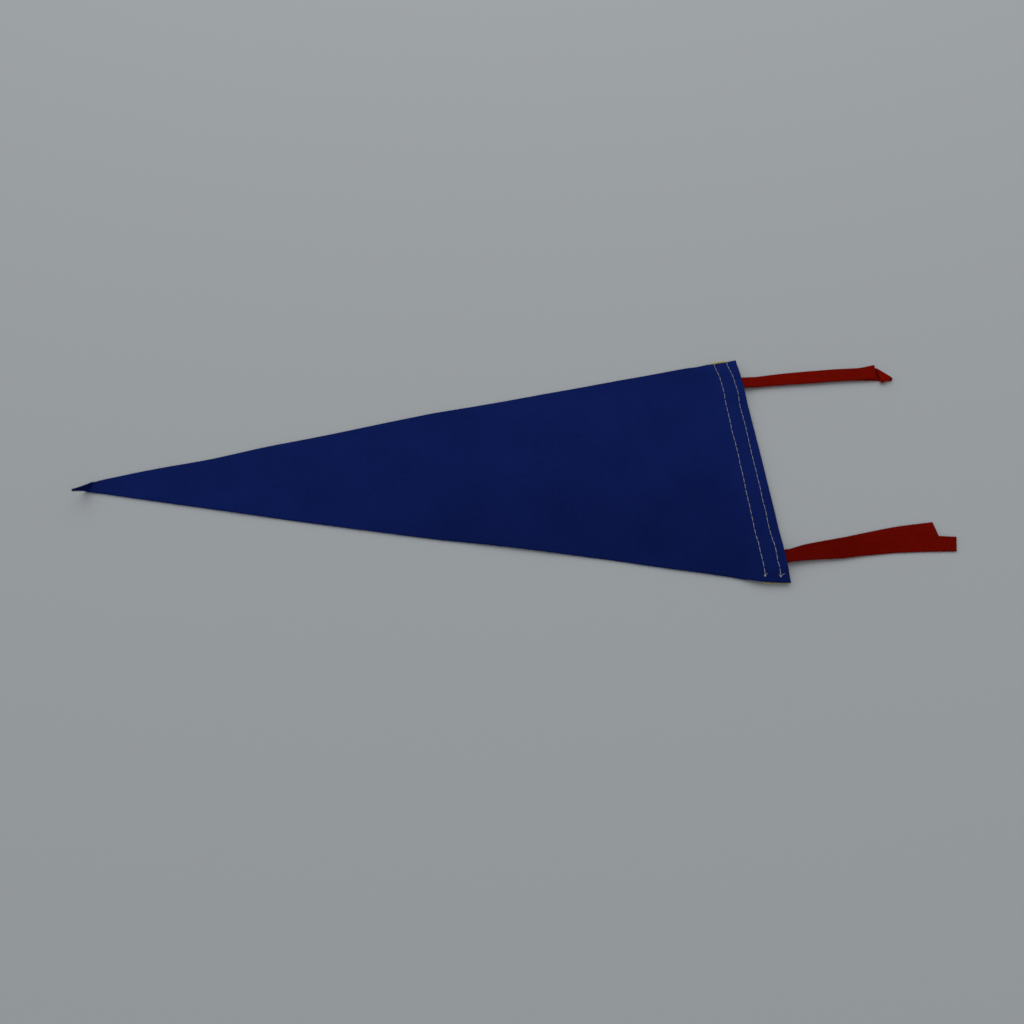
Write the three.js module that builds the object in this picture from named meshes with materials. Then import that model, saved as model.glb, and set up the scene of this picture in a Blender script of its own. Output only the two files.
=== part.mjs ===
// A small felt pennant flag, lying face down so that its back is seen.
// A long triangle of blue felt has a yellow heading strip sewn under its hoist end. Two red felt ties,
// each folded in half, are caught between the two layers and leave two free tails each.
// Millimetres. x runs from the tip to the hoist and the ties, y across the flag, z up from the surface.
import * as THREE from "three";

// Felt
const bodyThickness = 1.2;
const stripThickness = 1;
const tieThickness = 1;
const gap = 0.3;

// The triangle, flat, with its tip at x = 0
const length = 350;
const hoistWidth = 140;
const hoistBow = 1.05;
const hoistBowAtEnds = 0.75;
const hoistDrawIn = 0.6;

// How far each long edge stands outside the straight line from the tip to the hoist corner
const edgeBows = [
  { x: 0, far: 0.45, near: 0.2 },
  { x: 13, far: -0.4, near: -0.2 },
  { x: 20, far: 0.2, near: -0.3 },
  { x: 40, far: 0.7, near: 0.05 },
  { x: 68, far: 0.25, near: 0.4 },
  { x: 97, far: 0.9, near: 0.9 },
  { x: 130, far: 1.5, near: 1.25 },
  { x: 164, far: 2, near: 1.4 },
  { x: 183, far: 2.1, near: 1.35 },
  { x: 207, far: 1.7, near: 0.85 },
  { x: 226, far: 1.5, near: 0.6 },
  { x: 250, far: 1.2, near: 0.4 },
  { x: 268, far: 0.9, near: 0.35 },
  { x: 291, far: 0.6, near: 0.8 },
  { x: 322, far: 0.3, near: 1.2 },
  { x: 338, far: -1.6, near: 2.35 },
  { x: 345, far: -1.85, near: 1.75 },
  { x: 352, far: -1.65, near: 0.7 },
];

// Places where a long edge stands a little off the surface
const edgeLifts = [
  { x: 97, side: 1, reach: 26, height: 0.5 },
  { x: 183, side: 1, reach: 38, height: 0.6 },
  { x: 226, side: -1, reach: 36, height: 0.5 },
];
const edgeLiftWidth = 0.45;

// The tip is curled up along a slanting crease
const creaseFarX = 17.25;
const creaseNearX = 13;
const curlRadius = 0.9;
const curlTurn = THREE.MathUtils.degToRad(113.5);
const curlSteps = 5;
const curlStations = [0.6, 3.2, 6.4];
const straightenLength = 45;

// Where the body's columns stand on the flat stretch and on the seam, and its rows between the ties
const flatColumns = [18, 25, 34, 46, 60, 78, 97, 116, 138, 160, 183, 205, 226, 250, 275, 300, 318];
const seamColumns = [327, 329.5, 332, 334, 336, 338, 340, 342.5, 346, length];
const middleRows = [-22, -7, 8, 22];
const edgeMargin = 3;

// The heading strip under the hoist end, with its ends at its inner edge, its middle and its outer edge
const strip = { innerX: 338, outerX: 349.9, farY: [68.4, 69.4, 68.2], nearY: [-69.6, -70.2, -70.5] };
const stripWave = 0.15;
const stripWavePace = 1.7;
const stripSteps = 14;

// The body climbs onto the strip, and higher onto the ties
const stripRamp = { from: 327, to: 336 };
const tieRamp = { from: 328, to: 340 };
const tieFlat = 5.4;
const rowMargin = 0.8;
const tieLumps = [
  { y: 50.4, fall: 11 },
  { y: -57.8, fall: 8 },
];

// Ties: the middle of the fold, and each tail from the fold to its free end. x and y are on the middle
// line, half is half the width, skew the lead of the far edge over the near one, nearZ and farZ the
// height of the underside.
const foldX = 341.65;
const seamZ = stripThickness + gap;
const plyRise = tieThickness + gap;
const foldSteps = 6;
const tailSteps = 3;
const farTie = {
  lower: [
    { x: foldX, y: 50.4, half: 3.75, skew: 0, nearZ: seamZ, farZ: seamZ },
    { x: 350, y: 51.8, half: 2.85, skew: 0, nearZ: seamZ, farZ: seamZ },
    { x: 361, y: 53.3, half: 2.95, skew: 0, nearZ: 0, farZ: 0 },
    { x: 376, y: 54.6, half: 3.45, skew: 0, nearZ: 0, farZ: 0 },
    { x: 407, y: 56.1, half: 3.5, skew: 0, nearZ: 0, farZ: 0 },
    { x: 428.5, y: 55.6, half: 4.5, skew: -8.2, nearZ: 0, farZ: 0 },
  ],
  upper: [
    { x: foldX, y: 50.4, half: 3.75, skew: 0, nearZ: seamZ + plyRise, farZ: seamZ + plyRise },
    { x: 350, y: 51.35, half: 3.2, skew: 0, nearZ: seamZ + plyRise, farZ: seamZ + plyRise },
    { x: 361, y: 52.7, half: 3.4, skew: 0, nearZ: plyRise, farZ: plyRise },
    { x: 368, y: 53.35, half: 3.6, skew: 0, nearZ: plyRise, farZ: plyRise },
    { x: 376, y: 53.9, half: 3.8, skew: 0, nearZ: plyRise, farZ: plyRise },
    { x: 391, y: 54.7, half: 4.05, skew: 0, nearZ: plyRise, farZ: plyRise },
    { x: 407, y: 55.45, half: 4.05, skew: 0, nearZ: plyRise, farZ: plyRise },
    { x: 415, y: 55.5, half: 4, skew: 0, nearZ: plyRise, farZ: 1.4 },
    { x: 424.1, y: 55.95, half: 4.15, skew: 0.9, nearZ: 1.65, farZ: 2.9 },
  ],
};
const nearTie = {
  lower: [
    { x: foldX, y: -58.2, half: 3.6, skew: 0, nearZ: seamZ, farZ: seamZ },
    { x: 350, y: -57.05, half: 3.15, skew: 0, nearZ: seamZ, farZ: seamZ },
    { x: 355.4, y: -55.65, half: 3.4, skew: 0, nearZ: 0.75, farZ: 0.75 },
    { x: 361, y: -54.1, half: 3.85, skew: 0, nearZ: 0, farZ: 0 },
    { x: 370, y: -52.7, half: 4, skew: 0, nearZ: 0, farZ: 0 },
    { x: 380, y: -51.15, half: 4, skew: 0, nearZ: 0, farZ: 0 },
    { x: 395, y: -48.5, half: 4.05, skew: 0, nearZ: 0, farZ: 0 },
    { x: 410, y: -46.1, half: 4.1, skew: -0.4, nearZ: 0, farZ: 0 },
    { x: 427, y: -44.5, half: 4.1, skew: -0.7, nearZ: 0, farZ: 0 },
  ],
  upper: [
    { x: foldX, y: -58.2, half: 3.6, skew: 0, nearZ: seamZ + plyRise, farZ: seamZ + plyRise },
    { x: 350, y: -57.25, half: 3.25, skew: 0, nearZ: seamZ + plyRise, farZ: seamZ + plyRise },
    { x: 357.4, y: -56.4, half: 3.3, skew: 0, nearZ: 1.85, farZ: 1.85 },
    { x: 367, y: -55.5, half: 3.55, skew: 0, nearZ: plyRise, farZ: 1.4 },
    { x: 377, y: -54.85, half: 3.85, skew: 0, nearZ: 0.85, farZ: 2.05 },
    { x: 392, y: -53.35, half: 3.9, skew: 0.4, nearZ: 0.2, farZ: 2.3 },
    { x: 406.5, y: -52.6, half: 3.9, skew: 0.9, nearZ: 0, farZ: 1.9 },
    { x: 421, y: -52.8, half: 3.8, skew: 1.6, nearZ: 0, farZ: 1.55 },
    { x: 434.3, y: -53.15, half: 3.8, skew: 2.2, nearZ: 0, farZ: 0.3 },
  ],
};

// The far tie's lower tail has its slanting end corner folded over on top of it
const corner = { x: 437.2, y: 58.8 };
const cornerTurnSteps = 6;
const cornerFlapStations = [0.45, 0.7, 0.94];
const tieRows = 4;

// Felt colours
const blueFelt = new THREE.MeshStandardMaterial({ color: 0x1b2d79, roughness: 0.95, metalness: 0 });
const yellowFelt = new THREE.MeshStandardMaterial({ color: 0xd9ae2c, roughness: 0.95, metalness: 0 });
const redFelt = new THREE.MeshStandardMaterial({ color: 0x941404, roughness: 0.95, metalness: 0 });

const { lerp, smoothstep, clamp } = THREE.MathUtils;

// A smooth curve through one column of a table, which never swings past a row: the slope at a row is the
// harmonic mean of the slopes on its two sides, or level where they differ in sign
function tableValue(rows, column, x) {
  const last = rows.length - 1;
  const above = rows.findIndex((row) => row.x > x);
  const i = above < 0 ? last - 1 : Math.max(above - 1, 0);
  const rate = (k) => (rows[k + 1][column] - rows[k][column]) / (rows[k + 1].x - rows[k].x);
  const slope = (k) => {
    const before = rate(Math.max(k - 1, 0));
    const after = rate(Math.min(k, last - 1));
    return before * after > 0 ? (2 * before * after) / (before + after) : 0;
  };
  const span = rows[i + 1].x - rows[i].x;
  const t = clamp((x - rows[i].x) / span, 0, 1);
  const ease = t * t * (3 - 2 * t);
  const rise = lerp(rows[i][column], rows[i + 1][column], ease);
  return rise + span * t * (1 - t) * ((1 - t) * slope(i) - t * slope(i + 1));
}

// A closed sheet of felt: a box of columns by rows whose corners are moved to where place() puts them.
// side runs from -0.5 on the underside to 0.5 on top.
function feltGeometry(columns, rows, place) {
  const geometry = new THREE.BoxGeometry(1, 1, 1, columns, rows, 1);
  const corners = geometry.getAttribute("position");
  for (let i = 0; i < corners.count; i += 1) {
    const column = Math.round((corners.getX(i) + 0.5) * columns);
    const row = Math.round((corners.getY(i) + 0.5) * rows);
    const point = place(column, row, corners.getZ(i));
    corners.setXYZ(i, point.x, point.y, point.z);
  }
  geometry.computeVertexNormals();
  return geometry;
}

// Bends a flat sheet round a line on it: what lies beyond the line climbs an arc and then goes on straight.
// Returns the bent point on the sheet's middle surface and the direction that was up.
function bendOver(point, line, radius, turn) {
  const beyond = (point.x - line.x) * line.outX + (point.y - line.y) * line.outY;
  if (beyond <= 0) {
    return { middle: point.clone(), up: new THREE.Vector3(0, 0, 1) };
  }
  const angle = Math.min(beyond / radius, turn);
  const rest = beyond - angle * radius;
  const out = radius * Math.sin(angle) + rest * Math.cos(angle);
  const rise = radius * (1 - Math.cos(angle)) + rest * Math.sin(angle);
  const shift = new THREE.Vector3((out - beyond) * line.outX, (out - beyond) * line.outY, rise);
  const up = new THREE.Vector3(-Math.sin(angle) * line.outX, -Math.sin(angle) * line.outY, Math.cos(angle));
  return { middle: point.clone().add(shift), up };
}

// The line through two points of a sheet, with the direction square to it that points to its outer side
function bendLine(from, to) {
  const along = Math.hypot(to.x - from.x, to.y - from.y);
  return { x: from.x, y: from.y, outX: (from.y - to.y) / along, outY: (to.x - from.x) / along };
}

// Half the triangle's width on one side of its middle line
function edgeDistance(x, column) {
  return (hoistWidth / 2 / length) * x + tableValue(edgeBows, column, x);
}

// How much of a tie's lump is felt at a place across the hoist
function lumpShare(y) {
  const shares = tieLumps.map((lump) => 1 - smoothstep(Math.abs(y - lump.y), tieFlat, tieFlat + lump.fall));
  return Math.max(...shares);
}

// Height of the body's underside over the surface
function bodyLift(x, y) {
  let lift = seamZ * smoothstep(x, stripRamp.from, stripRamp.to);
  lift += 2 * plyRise * lumpShare(y) * smoothstep(x, tieRamp.from, tieRamp.to);
  for (const place of edgeLifts) {
    const column = place.side > 0 ? "far" : "near";
    const inward = 1 - (place.side * y) / edgeDistance(x, column);
    const nearness = 1 - smoothstep(Math.abs(x - place.x), 0, place.reach);
    lift += place.height * nearness * (1 - smoothstep(inward, 0, edgeLiftWidth));
  }
  return lift;
}

// Columns of the body: through the curl, along the flat stretch, and up onto the seam
function bodyColumns() {
  const creaseX = (creaseFarX + creaseNearX) / 2;
  const arcLength = curlRadius * curlTurn;
  const perMillimetre = creaseX / creaseDepth();
  const columns = [...curlStations];
  for (let step = curlSteps; step >= 0; step -= 1) {
    columns.push(creaseX - (arcLength * step * perMillimetre) / curlSteps);
  }
  return [...columns, ...flatColumns, ...seamColumns];
}

// Distance of the tip from the crease
function creaseDepth() {
  const line = creaseLine();
  return -(line.x * line.outX + line.y * line.outY);
}

function creaseLine() {
  const from = new THREE.Vector2(creaseNearX, -edgeDistance(creaseNearX, "near"));
  const to = new THREE.Vector2(creaseFarX, edgeDistance(creaseFarX, "far"));
  return bendLine(from, to);
}

// Rows of the body, as shares of its width, set where the ties lie so that the lumps over them keep
// their shape
function bodyRows() {
  const rowX = (foldX + length) / 2;
  const near = edgeDistance(rowX, "near");
  const far = edgeDistance(rowX, "far");
  const stops = [-near, ...middleRows, far];
  for (const lump of tieLumps) {
    for (const offset of [-rowMargin, lump.fall / 3, (2 * lump.fall) / 3, lump.fall]) {
      stops.push(lump.y - tieFlat - offset, lump.y + tieFlat + offset);
    }
  }
  const wellInside = (y) => y > edgeMargin - near && y < far - edgeMargin;
  const kept = stops.filter((y) => y === -near || y === far || wellInside(y));
  return kept.sort((a, b) => a - b).map((y) => (y + near) / (near + far));
}

// The blue triangle
function makeBody() {
  const columns = bodyColumns();
  const shares = bodyRows();
  const crease = creaseLine();
  const creaseX = (creaseFarX + creaseNearX) / 2;
  return feltGeometry(columns.length - 1, shares.length - 1, (column, row, side) => {
    const x = columns[column];
    const slant = clamp(x / creaseX, 0, 1) * (1 - smoothstep(x, creaseX, creaseX + straightenLength));
    const lead = ((creaseFarX - creaseNearX) / 2) * slant;
    const nearY = -edgeDistance(x - lead, "near");
    const farY = edgeDistance(x + lead, "far");
    const point = new THREE.Vector3(lerp(x - lead, x + lead, shares[row]), lerp(nearY, farY, shares[row]), 0);
    const across = (2 * point.y) / hoistWidth;
    const bow = hoistBow - hoistBowAtEnds * across * across - hoistDrawIn * lumpShare(point.y);
    point.x += bow * smoothstep(x, tieRamp.to, length);
    point.z = bodyLift(point.x, point.y) + bodyThickness / 2;
    const { middle, up } = bendOver(point, crease, curlRadius, curlTurn);
    return middle.addScaledVector(up, side * bodyThickness);
  });
}

// The yellow strip, flat on the surface, its ends cut on a slant
function makeStrip() {
  const width = strip.outerX - strip.innerX;
  return feltGeometry(2, stripSteps, (column, row, side) => {
    const across = column / 2;
    const wave = stripWave * Math.sin(row * stripWavePace + column);
    return new THREE.Vector3(
      width * across + wave,
      lerp(strip.nearY[column], strip.farY[column], row / stripSteps),
      (side + 0.5) * stripThickness,
    );
  });
}

// The two edge points of a tail on its middle surface, at one place along it
function tailStation(tail, x) {
  const value = (column) => tableValue(tail, column, x);
  const lead = value("skew") / 2;
  const middleZ = tieThickness / 2;
  const near = new THREE.Vector3(x - lead, value("y") - value("half"), value("nearZ") + middleZ);
  const far = new THREE.Vector3(x + lead, value("y") + value("half"), value("farZ") + middleZ);
  return { near, far };
}

// Places along a tail, a few between each pair of its table's rows
function tailPlaces(tail) {
  const places = [];
  for (let i = 0; i < tail.length - 1; i += 1) {
    for (let step = 0; step < tailSteps; step += 1) {
      places.push(lerp(tail[i].x, tail[i + 1].x, step / tailSteps));
    }
  }
  places.push(tail[tail.length - 1].x);
  return places;
}

// The folded-over corner at the end of a tail: straight lines from edge to edge, side by side with its crease
function foldedCorner(end) {
  const line = bendLine(end.far, end.near);
  const radius = plyRise / 2;
  const tip = new THREE.Vector3(corner.x, corner.y, end.near.z);
  const depth = (tip.x - line.x) * line.outX + (tip.y - line.y) * line.outY;
  const turned = (Math.PI * radius) / depth;
  const shares = [...cornerFlapStations];
  for (let step = cornerTurnSteps; step >= 1; step -= 1) {
    shares.unshift((turned * step) / cornerTurnSteps);
  }
  return shares.map((share) => {
    const near = bendOver(end.near.clone().lerp(tip, share), line, radius, Math.PI);
    const far = bendOver(end.far.clone().lerp(tip, share), line, radius, Math.PI);
    return { near: near.middle, far: far.middle, up: near.up };
  });
}

// A tie: from the upper tail's free end to the fold, round it, and out along the lower tail
function makeTie(tie, origin, folded) {
  const up = new THREE.Vector3(0, 0, 1);
  const down = new THREE.Vector3(0, 0, -1);
  const stations = tailPlaces(tie.upper)
    .reverse()
    .map((x) => ({ ...tailStation(tie.upper, x), up: down }));
  const radius = plyRise / 2;
  const root = tailStation(tie.lower, foldX);
  for (let step = 1; step < foldSteps; step += 1) {
    const angle = Math.PI * (1 - step / foldSteps);
    const shift = new THREE.Vector3(-radius * Math.sin(angle), 0, radius * (1 - Math.cos(angle)));
    const inward = new THREE.Vector3(Math.sin(angle), 0, Math.cos(angle));
    stations.push({ near: root.near.clone().add(shift), far: root.far.clone().add(shift), up: inward });
  }
  for (const x of tailPlaces(tie.lower)) {
    stations.push({ ...tailStation(tie.lower, x), up });
  }
  if (folded) {
    stations.push(...foldedCorner(stations[stations.length - 1]));
  }
  return feltGeometry(stations.length - 1, tieRows, (column, row, side) => {
    const station = stations[column];
    const point = station.near.clone().lerp(station.far, row / tieRows);
    return point.addScaledVector(station.up, side * tieThickness).sub(origin);
  });
}

function namedMesh(name, geometry, material, position) {
  const mesh = new THREE.Mesh(geometry, material);
  mesh.name = name;
  mesh.position.copy(position);
  return mesh;
}

// The whole flag, set so that the middle of its box, at the surface, is the origin
const atTip = new THREE.Vector3(0, 0, 0);
const atStrip = new THREE.Vector3(strip.innerX, 0, 0);
const atFarTie = new THREE.Vector3(foldX, farTie.lower[0].y, seamZ);
const atNearTie = new THREE.Vector3(foldX, nearTie.lower[0].y, seamZ);
const pennant = new THREE.Group();
pennant.add(
  namedMesh("pennant_body", makeBody(), blueFelt, atTip),
  namedMesh("heading_strip", makeStrip(), yellowFelt, atStrip),
  namedMesh("tie_far", makeTie(farTie, atFarTie, true), redFelt, atFarTie),
  namedMesh("tie_near", makeTie(nearTie, atNearTie, false), redFelt, atNearTie),
);
const box = new THREE.Box3().setFromObject(pennant);
const middle = box.getCenter(new THREE.Vector3());
pennant.position.set(-middle.x, -middle.y, -box.min.z);

export default pennant;
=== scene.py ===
# %% [markdown]
# This is a small felt pennant flag, 350 mm long, lying face down, so that its plain back is seen. A long
# triangle of blue felt has a yellow heading strip sewn under its wide end, and two red felt ties are caught
# between the two layers. Every layer is pressed felt about 1 mm thick, so nothing here is a solid block:
# each piece is a thin sheet with a soft top, a soft underside and a rounded cut edge. The sheets are worked
# out as whole arrays of points, because a formula keeps the four layers clear of each other by design.

# %% Load the frame and keep its size
import math

import bpy
import numpy as np
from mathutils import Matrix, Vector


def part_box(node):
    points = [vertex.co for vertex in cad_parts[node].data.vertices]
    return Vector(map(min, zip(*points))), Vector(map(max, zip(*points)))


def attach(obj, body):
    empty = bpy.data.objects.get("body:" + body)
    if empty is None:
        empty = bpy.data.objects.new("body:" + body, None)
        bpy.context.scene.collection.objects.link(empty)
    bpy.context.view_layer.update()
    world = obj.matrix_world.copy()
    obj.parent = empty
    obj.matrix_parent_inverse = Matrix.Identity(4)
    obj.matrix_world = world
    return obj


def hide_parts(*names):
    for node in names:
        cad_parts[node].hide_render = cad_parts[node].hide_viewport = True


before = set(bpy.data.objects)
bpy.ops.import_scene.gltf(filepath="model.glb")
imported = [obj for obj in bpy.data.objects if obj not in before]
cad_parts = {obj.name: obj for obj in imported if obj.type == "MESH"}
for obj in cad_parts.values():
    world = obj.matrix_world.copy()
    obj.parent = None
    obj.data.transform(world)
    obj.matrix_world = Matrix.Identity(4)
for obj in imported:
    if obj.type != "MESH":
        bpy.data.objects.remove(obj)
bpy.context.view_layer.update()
print("solids in the frame:", ", ".join(sorted(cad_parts)))

# %% [markdown]
# The flag is measured from its tip, as a maker would: x runs from the tip to the wide end and the ties, y
# goes across the flag with plus on the far side, and z is the height over the surface, all in millimetres.
# The frame's own origin is the middle of the flag's box. Two known edges give the step from one to the
# other: the outer face of a tie's fold in x, and the far end of the heading strip in y.

# %% Sizes that the pieces share, and where the tip lies in the frame
MM = 0.001
BODY_THICKNESS = 1.2
STRIP_THICKNESS = 1.0
TIE_THICKNESS = 1.0
GAP = 0.3
LENGTH = 350
HOIST_WIDTH = 140
SEAM_Z = STRIP_THICKNESS + GAP
PLY_RISE = TIE_THICKNESS + GAP
FOLD_X = 341.65
STRIP_INNER_X = 338
STRIP_OUTER_X = 349.9
STRIP_FAR = (68.4, 69.4, 68.2)
STRIP_NEAR = (-69.6, -70.2, -70.5)

fold_face_x = FOLD_X - PLY_RISE / 2 - TIE_THICKNESS / 2
tip_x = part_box("tie_near")[0].x / MM - fold_face_x
tip_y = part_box("heading_strip")[1].y / MM - max(STRIP_FAR)


def in_frame(points):
    """Points in millimetres from the tip, as metres in the frame."""
    return (np.asarray(points, float) + (tip_x, tip_y, 0)) * MM


print(f"the tip lies at {tip_x:.2f}, {tip_y:.2f} mm in the frame")

# %% [markdown]
# The camera stands in front of the flag's long near edge and looks down at about 56 degrees. A phone or a
# camera with a wide lens held at arm's length sees the wide end a little larger than the tip. A camera
# could be aimed with a constraint, but three plain numbers for place and two angles are easier to check.

# %% Camera
CAMERA_PLACE = (211.5, -272.3, 370.0)
CAMERA_ELEVATION_DEG = 56.13
CAMERA_YAW_DEG = 2.7328
CAMERA_LENS = 32
CAMERA_SENSOR = 36

camera_data = bpy.data.cameras.new("camera")
camera_data.lens = CAMERA_LENS
camera_data.sensor_width = CAMERA_SENSOR
camera_data.clip_start = 0.01
camera_data.clip_end = 50
camera = bpy.data.objects.new("camera", camera_data)
camera.location = in_frame(CAMERA_PLACE)
camera.rotation_euler = (math.radians(90 - CAMERA_ELEVATION_DEG), 0, -math.radians(CAMERA_YAW_DEG))
bpy.context.scene.collection.objects.link(camera)
bpy.context.scene.camera = camera
print("camera height over the floor:", CAMERA_PLACE[2], "mm")

# %% [markdown]
# Felt bends in soft curves and never kinks, so heights and outlines ease from one value to the next. Two
# helpers do this for whole arrays. The first is the usual ease between two places. The second draws a
# curve through a short table of measured values. A spline could swing past a value and push one layer into
# the next, so the curve is a cubic that stays between its neighbours.

# %% Easing and curves through a table
def smooth(x, low, high):
    """Eases from 0 at low to 1 at high: with t the share of the way, the value is 3 t squared - 2 t cubed."""
    t = np.clip((x - low) / (high - low), 0, 1)
    return t * t * (3 - 2 * t)


def mix(a, b, share):
    """The value that lies the given share of the way from a to b."""
    return a + (b - a) * share


def table_curve(stops, values, x):
    """A curve through pairs of stop and value that never swings past them.

    The slope at a stop is the harmonic mean of the straight slopes on its two sides, or level where they
    differ in sign. Between two stops the value eases from one to the other, plus the span times
    t (1 - t) times ((1 - t) first slope - t second slope).
    """
    stops = np.asarray(stops, float)
    values = np.asarray(values, float)
    rates = np.diff(values) / np.diff(stops)
    before = np.concatenate([rates[:1], rates])
    after = np.concatenate([rates, rates[-1:]])
    same_way = before * after > 0
    slopes = np.where(same_way, 2 * before * after / np.where(same_way, before + after, 1), 0)
    i = np.clip(np.searchsorted(stops, x, side="right") - 1, 0, len(stops) - 2)
    span = stops[i + 1] - stops[i]
    t = np.clip((x - stops[i]) / span, 0, 1)
    sway = span * t * (1 - t) * ((1 - t) * slopes[i] - t * slopes[i + 1])
    return mix(values[i], values[i + 1], t * t * (3 - 2 * t)) + sway


WAVE_LENGTH_SPREAD = (0.6, 1.7)


def uneven(x, y, size, seed, count=9):
    """A smooth uneven height of about -1 to 1: sine waves of about the given length, in random directions
    and phases from a fixed seed, added up and divided by the root of their number."""
    random = np.random.default_rng(seed)
    angles = random.uniform(0, math.pi, count)
    lengths = size * random.uniform(*WAVE_LENGTH_SPREAD, count)
    phases = random.uniform(0, 2 * math.pi, count)
    run = np.multiply.outer(x, np.cos(angles)) + np.multiply.outer(y, np.sin(angles))
    return np.sin(2 * math.pi * run / lengths + phases).sum(-1) / math.sqrt(count)


print("half way up an ease:", smooth(0.5, 0, 1))

# %% [markdown]
# A sheet of felt could be a flat grid with a Solidify modifier, but Solidify leaves a hard square edge, and
# felt cut with scissors has a soft one that bulges a little. So a helper builds the closed sheet itself. It
# takes the middle surface as a grid, finds the direction square to it at each point, and puts the top and
# the underside half a thickness away. Close to the cut edge both draw in, and rings between them bulge out.

# %% A closed sheet of felt round its middle surface
EDGE_DRAW_IN = 0.2
EDGE_SOFTNESS = 0.35
EDGE_BULGE = 0.14
EDGE_ROUGHNESS = 0.05
RIM_SHARES = (0.2, 0.5, 0.8)
NEARLY_ZERO = 1e-12


def unit(vectors):
    """Vectors made one long."""
    return vectors / np.maximum(np.linalg.norm(vectors, axis=-1, keepdims=True), NEARLY_ZERO)


def square_to(grid):
    """The direction square to a grid of points: the cross product of the ways along its two indices."""
    return unit(np.cross(np.gradient(grid, axis=0), np.gradient(grid, axis=1)))


def grid_faces(numbers):
    """Four-cornered faces between neighbouring columns and rows of a grid of point numbers."""
    corners = [numbers[:-1, :-1], numbers[1:, :-1], numbers[1:, 1:], numbers[:-1, 1:]]
    return np.stack(corners, axis=-1).reshape(-1, 4)


def rim_loop(columns, rows):
    """Numbers of a grid's boundary points, once round, counterclockwise as seen from the top."""
    numbers = np.arange(columns * rows).reshape(columns, rows)
    return np.concatenate([numbers[:-1, 0], numbers[-1, :-1], numbers[:0:-1, -1], numbers[0, :0:-1]])


def edge_distance_on(grid):
    """Distance of each grid point from the nearest edge: the least of the lengths run along its row and
    its column from either end."""
    nearest = np.full(grid.shape[:2], np.inf)
    for axis in (0, 1):
        steps = np.linalg.norm(np.diff(grid, axis=axis), axis=-1)
        padding = [(1, 0) if i == axis else (0, 0) for i in (0, 1)]
        run = np.pad(np.cumsum(steps, axis=axis), padding)
        whole = np.take(run, [-1], axis=axis)
        nearest = np.minimum(nearest, np.minimum(run, whole - run))
    return nearest


def felt_layers(middle, upward, thickness, top_relief, under_relief):
    """Top and underside of a sheet: half the thickness each way along upward, less the draw-in at the
    edge, which fades as e to the power of minus distance by softness, plus the reliefs."""
    draw_in = EDGE_DRAW_IN * np.exp(-edge_distance_on(middle) / EDGE_SOFTNESS)
    top = middle + upward * (thickness / 2 - draw_in + top_relief)[..., None]
    under = middle - upward * (thickness / 2 - draw_in - under_relief)[..., None]
    return top.reshape(-1, 3), under.reshape(-1, 3)


def felt_points(top, under, loop, roughness):
    """All points of a closed sheet: top, underside, and rings between their boundaries. A ring that lies a
    share s of the way up bulges out by the bulge times the sine of pi s, unevenly."""
    low = under[loop]
    high = top[loop]
    along = np.roll(high, -1, axis=0) - np.roll(high, 1, axis=0)
    outward = unit(np.cross(along, high - low))
    rings = [mix(low, high, s) + outward * (EDGE_BULGE * math.sin(math.pi * s) + roughness)[:, None]
             for s in RIM_SHARES]
    return np.concatenate([top, under, *rings]), outward


def felt_sheet(middle, flat, thickness, top_relief=0.0, under_relief=0.0, seed=1):
    """Points, faces and places on the flat cut of a closed sheet of felt.

    middle is a grid of points on the middle surface, and flat holds the same points on the flat cut.
    """
    columns, rows = middle.shape[:2]
    loop = rim_loop(columns, rows)
    relief = np.zeros((columns, rows))
    roughness = np.random.default_rng(seed).normal(0, EDGE_ROUGHNESS, len(loop))
    roughness = (roughness + np.roll(roughness, 1) + np.roll(roughness, 2)) / 3
    layers = felt_layers(middle, square_to(middle), thickness, relief + top_relief, relief + under_relief)
    points, outward = felt_points(*layers, loop, roughness)
    straight_up = np.zeros_like(middle) + (0, 0, 1)
    flat_middle = np.dstack([flat, np.zeros((columns, rows))])
    cut, _ = felt_points(*felt_layers(flat_middle, straight_up, thickness, relief, relief), loop, roughness)

    size = columns * rows
    top_numbers = np.arange(size).reshape(columns, rows)
    ring_numbers = [2 * size + len(loop) * i + np.arange(len(loop)) for i in range(len(RIM_SHARES))]
    rim = np.stack([loop + size, *ring_numbers, loop], axis=1)
    rim = np.concatenate([rim, rim[:1]])
    faces = [grid_faces(top_numbers), grid_faces(top_numbers + size)[:, ::-1], grid_faces(rim)]
    return {
        "points": points,
        "faces": np.concatenate(faces),
        "cut": cut,
        "top": layers[0],
        "normals": square_to(middle).reshape(-1, 3),
        "edge": points[2 * size:].reshape(len(RIM_SHARES), -1, 3),
        "outward": outward,
    }


def new_piece(name, points, faces, material, cut=None, painted_shading=None):
    """A smooth shaded mesh object from points in millimetres from the tip. cut, if given, is kept on the
    mesh in metres as the attribute cut_place, which the felt's pattern follows. The last argument, if given,
    is the function that says how much lighter than usual the felt is painted at each point: painted light
    and shade, kept on the mesh as an attribute."""
    mesh = bpy.data.meshes.new(name)
    mesh.from_pydata(in_frame(points), [], [list(face) for face in faces])
    mesh.polygons.foreach_set("use_smooth", np.ones(len(mesh.polygons), bool))
    if cut is not None:
        places = mesh.attributes.new("cut_place", "FLOAT_VECTOR", "POINT")
        places.data.foreach_set("vector", (cut * MM).astype(np.float32).ravel())
    if painted_shading is not None:
        painted_attribute = mesh.attributes.new("painted_light_and_shade", "FLOAT", "POINT")
        painted_attribute.data.foreach_set("value", painted_shading(points).astype(np.float32))
    mesh.update()
    piece = bpy.data.objects.new(name, mesh)
    piece.data.materials.append(material)
    bpy.context.scene.collection.objects.link(piece)
    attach(piece, "root")
    triangles = sum(len(face) - 2 for face in faces)
    print(f"{name}: {len(points)} points, {triangles} triangles")
    return piece


print("rim of a 4 by 3 grid:", rim_loop(4, 3).tolist())
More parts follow.
